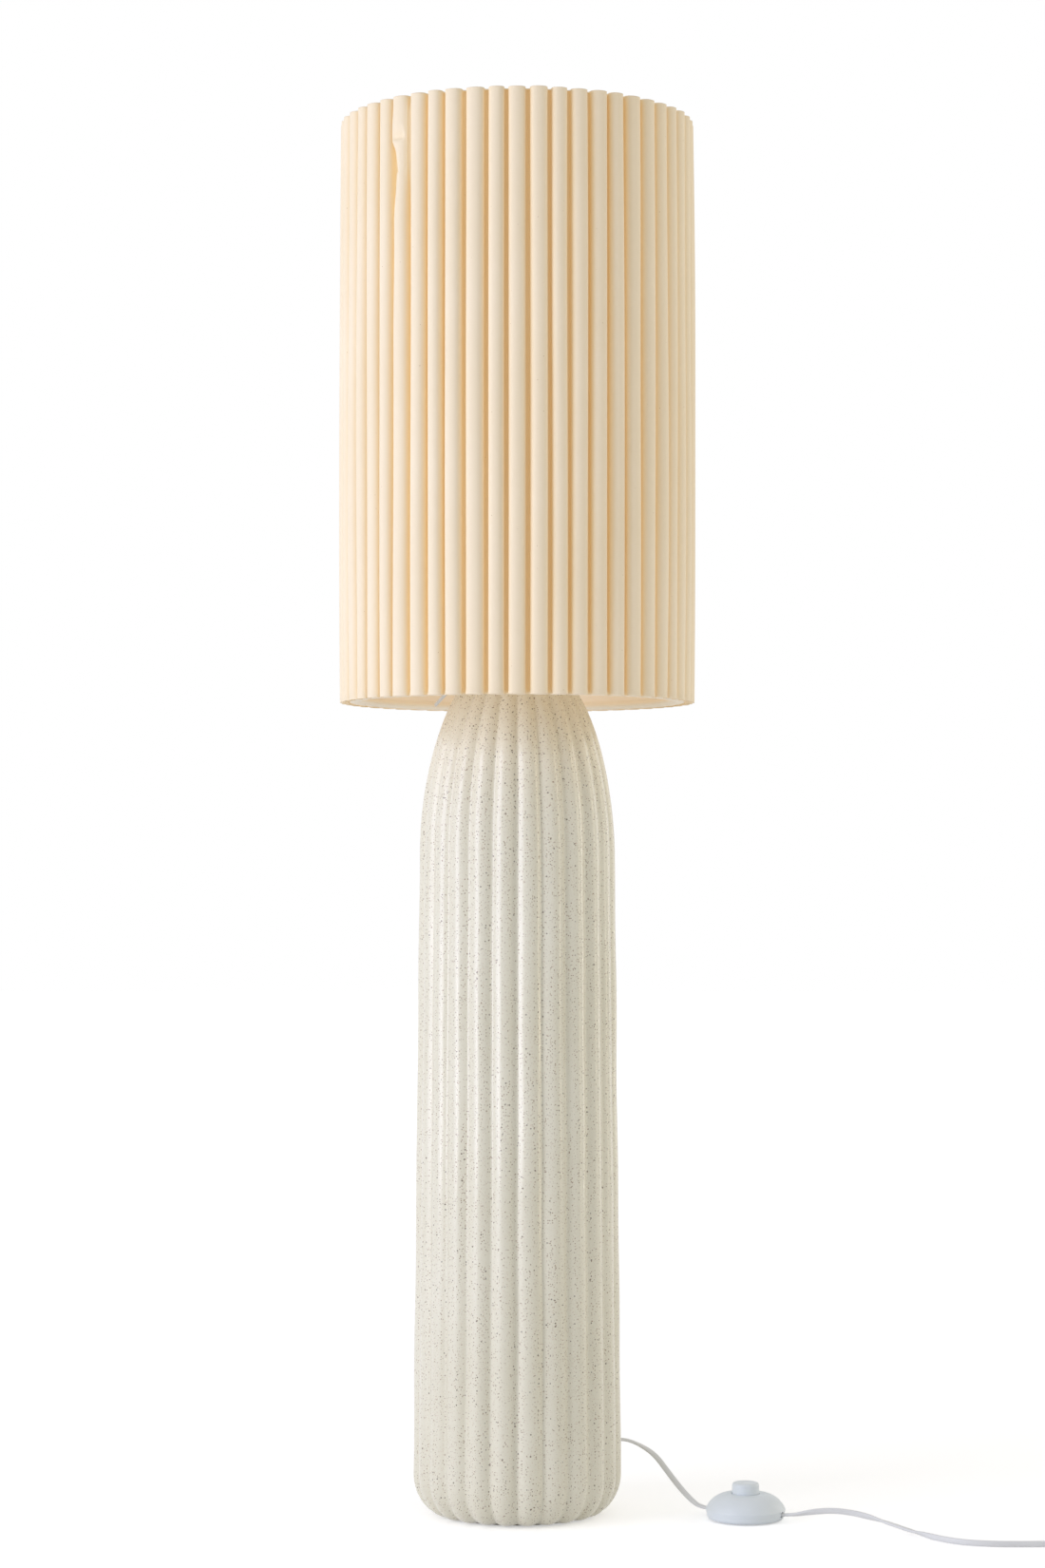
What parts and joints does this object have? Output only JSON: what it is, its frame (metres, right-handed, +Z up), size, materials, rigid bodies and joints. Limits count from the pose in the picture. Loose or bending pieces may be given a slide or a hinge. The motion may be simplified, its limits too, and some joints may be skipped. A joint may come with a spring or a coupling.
{
  "type": "floor lamp",
  "caption": "Floor lamp with a ribbed speckled ceramic column base, a tall pleated drum shade, a foot switch on its mains cord and a screw-in bulb.",
  "frame": {"origin": "on the floor under the middle of the ceramic base", "axes": "+Z up along the lamp's axis, -Y towards the front view, +X towards the foot switch"},
  "size_m": [0.7469, 0.3337, 1.3001],
  "materials": {
    "speckled_glaze": "satin off-white glaze with dark speckles",
    "felt": "pressed felt",
    "white_rubber": "soft white rubber",
    "black_rubber": "black sheet rubber",
    "white_steel": "white powder coat",
    "zinc_steel": "zinc plated",
    "white_plastic": "moulded white plastic",
    "porcelain": "white steatite",
    "brass": "bright brass",
    "black_glass": "dark vitrite",
    "nickel_cap": "nickel plated",
    "opal_globe": "opal diffuser",
    "shade_liner": "translucent cream sheet",
    "binding_tape": "cream tape",
    "pleated_cloth": "pleated cream cotton",
    "switch_plastic": "satin white plastic",
    "black_plastic": "moulded black plastic",
    "spring_steel": "bright wire",
    "cord_sheath": "white flexible sheath",
    "tie_strap": "white strap",
    "plug_plastic": "moulded white plastic"
  },
  "bodies": {
    "lamp": {"ceramic_base": "speckled_glaze", "base_felt_ring": "felt", "cord_grommet": "white_rubber", "neck_gasket": "black_rubber", "neck_cap": "white_steel", "under_gasket": "black_rubber", "clamp_washer": "zinc_steel", "lock_nut": "zinc_steel", "threaded_tube": "zinc_steel", "holder_cap": "white_plastic", "holder_shell": "white_plastic", "holder_core": "porcelain", "terminal_screws": "brass", "side_contacts": "brass", "centre_contact": "brass", "shade_clamp_ring": "white_plastic", "switch_cover": "switch_plastic", "switch_base": "switch_plastic", "switch_screws": "zinc_steel", "switch_feet": "white_rubber", "switch_contact_block": "black_plastic", "switch_cord_clamps": "black_plastic", "switch_spring": "spring_steel", "inner_cord": "cord_sheath", "cord_lamp_to_switch": "cord_sheath", "cord_switch_to_coil": "cord_sheath", "cord_coil": "cord_sheath", "cord_tie": "tie_strap", "cord_coil_to_plug": "cord_sheath", "plug_body": "plug_plastic", "plug_pins": "nickel_cap"},
    "shade": {"shade_fitter_ring": "white_steel", "shade_bottom_ring": "white_steel", "shade_top_ring": "white_steel", "shade_spokes": "white_steel", "shade_liner": "shade_liner", "shade_bottom_binding": "binding_tape", "shade_top_binding": "binding_tape", "shade_pleats": "pleated_cloth"},
    "bulb_cap": {"bulb_cap": "nickel_cap", "bulb_insulator": "black_glass", "bulb_tip": "zinc_steel"},
    "bulb": {"bulb_housing": "white_plastic", "bulb_globe": "opal_globe"},
    "button": {"switch_button": "switch_plastic"}
  },
  "joints": [
    {"name": "shade_turn", "type": "hinge", "parent": "lamp", "child": "shade", "pos_m": [0, 0, 0.8245], "axis": [0, 0, 1], "continuous": true},
    {"name": "bulb_lift", "type": "slide", "parent": "lamp", "child": "bulb_cap", "axis": [0, 0, 1], "range_m": [0, 0.0254]},
    {"name": "bulb_turn", "type": "hinge", "parent": "bulb_cap", "child": "bulb", "pos_m": [0, 0, 0.87], "axis": [0, 0, 1], "range_deg": [0, 2520]},
    {"name": "switch_press", "type": "slide", "parent": "lamp", "child": "button", "axis": [0, 0, -1], "range_m": [0, 0.004], "stiffness_N_per_m": 800, "springref_m": -0.003, "deforming": ["switch_spring"]}
  ],
  "couplings": [
    {"joint": "bulb_turn", "follows": "bulb_lift", "rad_per_m": 1731.4}
  ]
}
